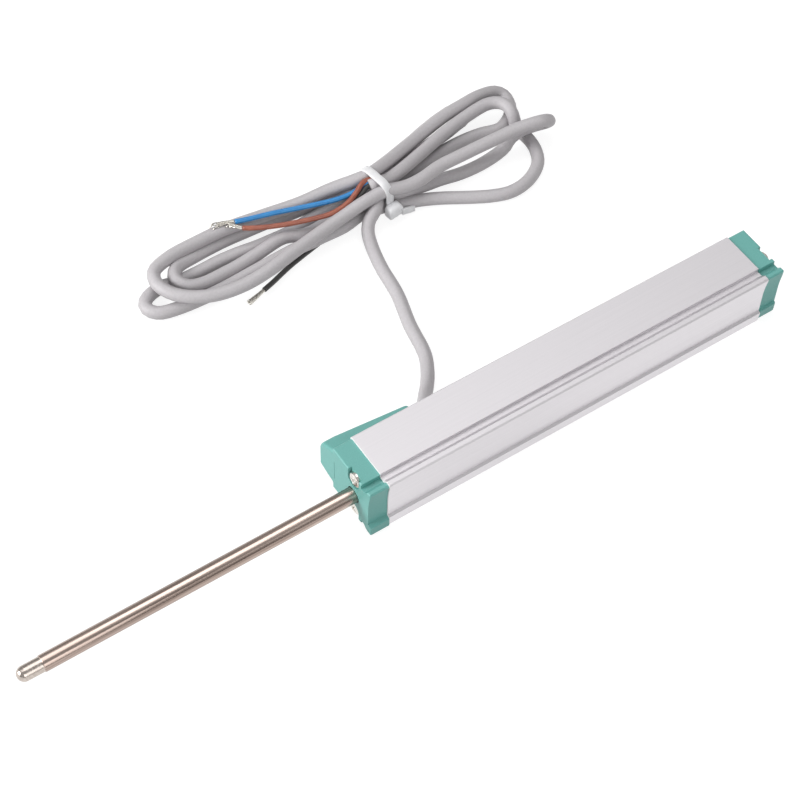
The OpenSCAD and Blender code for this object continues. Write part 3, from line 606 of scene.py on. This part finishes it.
# Spring steel: grey and smooth, with faint marks of the drawing die in patches of 0.5 mm
spring_steel = finish_of("drawn_spring_steel", ("#8f8f90", "#a9a8a6"), 0.0005,
                         rough=(0.22, 0.34), Metallic=1.0)
spring = mesh_piece("return_spring_coil", *strand(spring_line, spring_wire, spring_sides),
                    spring_steel)
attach(spring, "housing")
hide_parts("return_spring")
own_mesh(spring)

# Guide and inside
# The rod runs in a sintered bronze bushing with a rubber wiper and stop rings. An acetal
# carriage carries the contacts along two printed tracks on a laminate board.
inside = {
    # Sintered bronze: brown-gold and matt from its pores
    "rod_bushing": finish_of("sintered_bronze", ("#8d6b3c", "#b28b52"), 0.0003, bump=0.00001,
                             rough=(0.34, 0.5), Metallic=1.0),
    # Moulded nitrile rubber: near black, matt
    "rod_seal": finish_of("black_nitrile_rubber", ("#242425", "#2f2f30"), 0.0004,
                          bump=0.00001, rough=(0.55, 0.7), IOR=1.52),
    # Acetal: milk white, slightly waxy
    "carriage": finish_of("white_acetal", ("#e6e2d8", "#efece3"), 0.001, rough=(0.35, 0.45),
                          IOR=1.48),
    # Glass laminate: green, with the weave's 0.6 mm unevenness
    "track_board": finish_of("green_glass_laminate", ("#2c6a45", "#3a7d54"), 0.0006,
                             bump=0.00001, rough=(0.35, 0.5), IOR=1.55),
    # Printed carbon film: black and dense
    "resistance_track": finish_of("carbon_film", ("#1d1d1f", "#28282a"), 0.0005,
                                  rough=(0.4, 0.55)),
    # Printed silver: pale, slightly yellow metal
    "collector_track": finish_of("printed_silver", ("#cfccc4", "#e0ddd6"), 0.0004,
                                 rough=(0.3, 0.45), Metallic=1.0),
    # Polyimide film over copper: clear amber
    "lead_ribbon": finish_of("amber_polyimide_film", ("#c07a1e", "#d18c2c"), 0.001,
                             rough=(0.2, 0.3), IOR=1.7),
}
inside["front_stop_ring"] = inside["rear_stop_ring"] = inside["rod_seal"]
inside["wiper_contacts"] = spring_steel
for name, finish in inside.items():
    dress(name, finish)

# Floor, backdrop and light
# A white sweep and three soft boxes. The camera and the metal see the sweep white, and it
# keeps the object's soft shadow.
sweep = 4
floor_mesh = bpy.data.meshes.new("floor")
floor_mesh.from_pydata([(-sweep, -sweep, 0), (sweep, -sweep, 0), (sweep, sweep, 0),
                        (-sweep, sweep, 0)], [], [(0, 1, 2, 3)])
floor = bpy.data.objects.new("floor", floor_mesh)
scene.collection.objects.link(floor)
# Matt paper: it throws soft light back at the object, and is shown near white with a faint
# shadow on it
paper = bpy.data.materials.new("white_sweep_paper")
paper.use_nodes = True
tree = paper.node_tree
tree.nodes.clear()
ray = add(tree, "LightPath")
seen = add(tree, "Math", {0: ray.outputs["Is Camera Ray"], 1: ray.outputs["Is Glossy Ray"]},
           operation="MAXIMUM")
seen = add(tree, "Math", {0: seen.outputs[0], 1: ray.outputs["Is Transmission Ray"]},
           operation="MAXIMUM")
matt = add(tree, "BsdfDiffuse", {"Color": linear("#b4b4b4")})
half = add(tree, "BsdfDiffuse", {"Color": linear("#888888")})
glow = add(tree, "Emission", {"Color": (1, 1, 1, 1), "Strength": 0.86})
shown = add(tree, "AddShader", {0: half.outputs[0], 1: glow.outputs[0]})
both = add(tree, "MixShader", {0: seen.outputs[0], 1: matt.outputs[0], 2: shown.outputs[0]})
add(tree, "OutputMaterial", {"Surface": both.outputs[0]})
floor.data.materials.append(paper)

world = bpy.data.worlds.new("studio")
scene.world = world
world.use_nodes = True
tree = world.node_tree
tree.nodes.clear()
ray = add(tree, "LightPath")
direction = add(tree, "TexCoord").outputs["Generated"]
height = add(tree, "SeparateXYZ", {"Vector": direction}).outputs["Z"]
# The room that the object sees: bright overhead, with darker walls under the soft boxes
walls = add(tree, "ValToRGB", {"Fac": height})
walls.color_ramp.elements[0].position, walls.color_ramp.elements[1].position = 0.05, 0.6
walls.color_ramp.elements[0].color = (0.42, 0.41, 0.40, 1)
walls.color_ramp.elements[1].color = (0.8, 0.8, 0.8, 1)
lit = add(tree, "Background", {"Color": walls.outputs[0], "Strength": 0.6})
white = add(tree, "Background", {"Color": (1, 1, 1, 1), "Strength": 1.0})
mixed = add(tree, "MixShader", {0: ray.outputs["Is Camera Ray"], 1: lit.outputs[0],
                                2: white.outputs[0]})
add(tree, "OutputWorld", {"Surface": mixed.outputs[0]})

# One at the plunger's end, one on the near side, and one overhead: place, width and watts
for name, place, size, watts in (("soft_box_front", (-1.1, 0.4, 0.5), 0.6, 13.0),
                                 ("soft_box_side", (-0.3, -1.1, 0.6), 0.8, 4.4),
                                 ("soft_box_top", (0.1, 0.35, 1.3), 0.9, 4.8)):
    lamp = bpy.data.lights.new(name, "AREA")
    lamp.shape, lamp.size, lamp.energy = "SQUARE", size, watts
    box = bpy.data.objects.new(name, lamp)
    scene.collection.objects.link(box)
    box.location = place
    box.rotation_euler = (view_point - Vector(place)).to_track_quat("-Z", "Y").to_euler()
scene.view_settings.view_transform = "Standard"
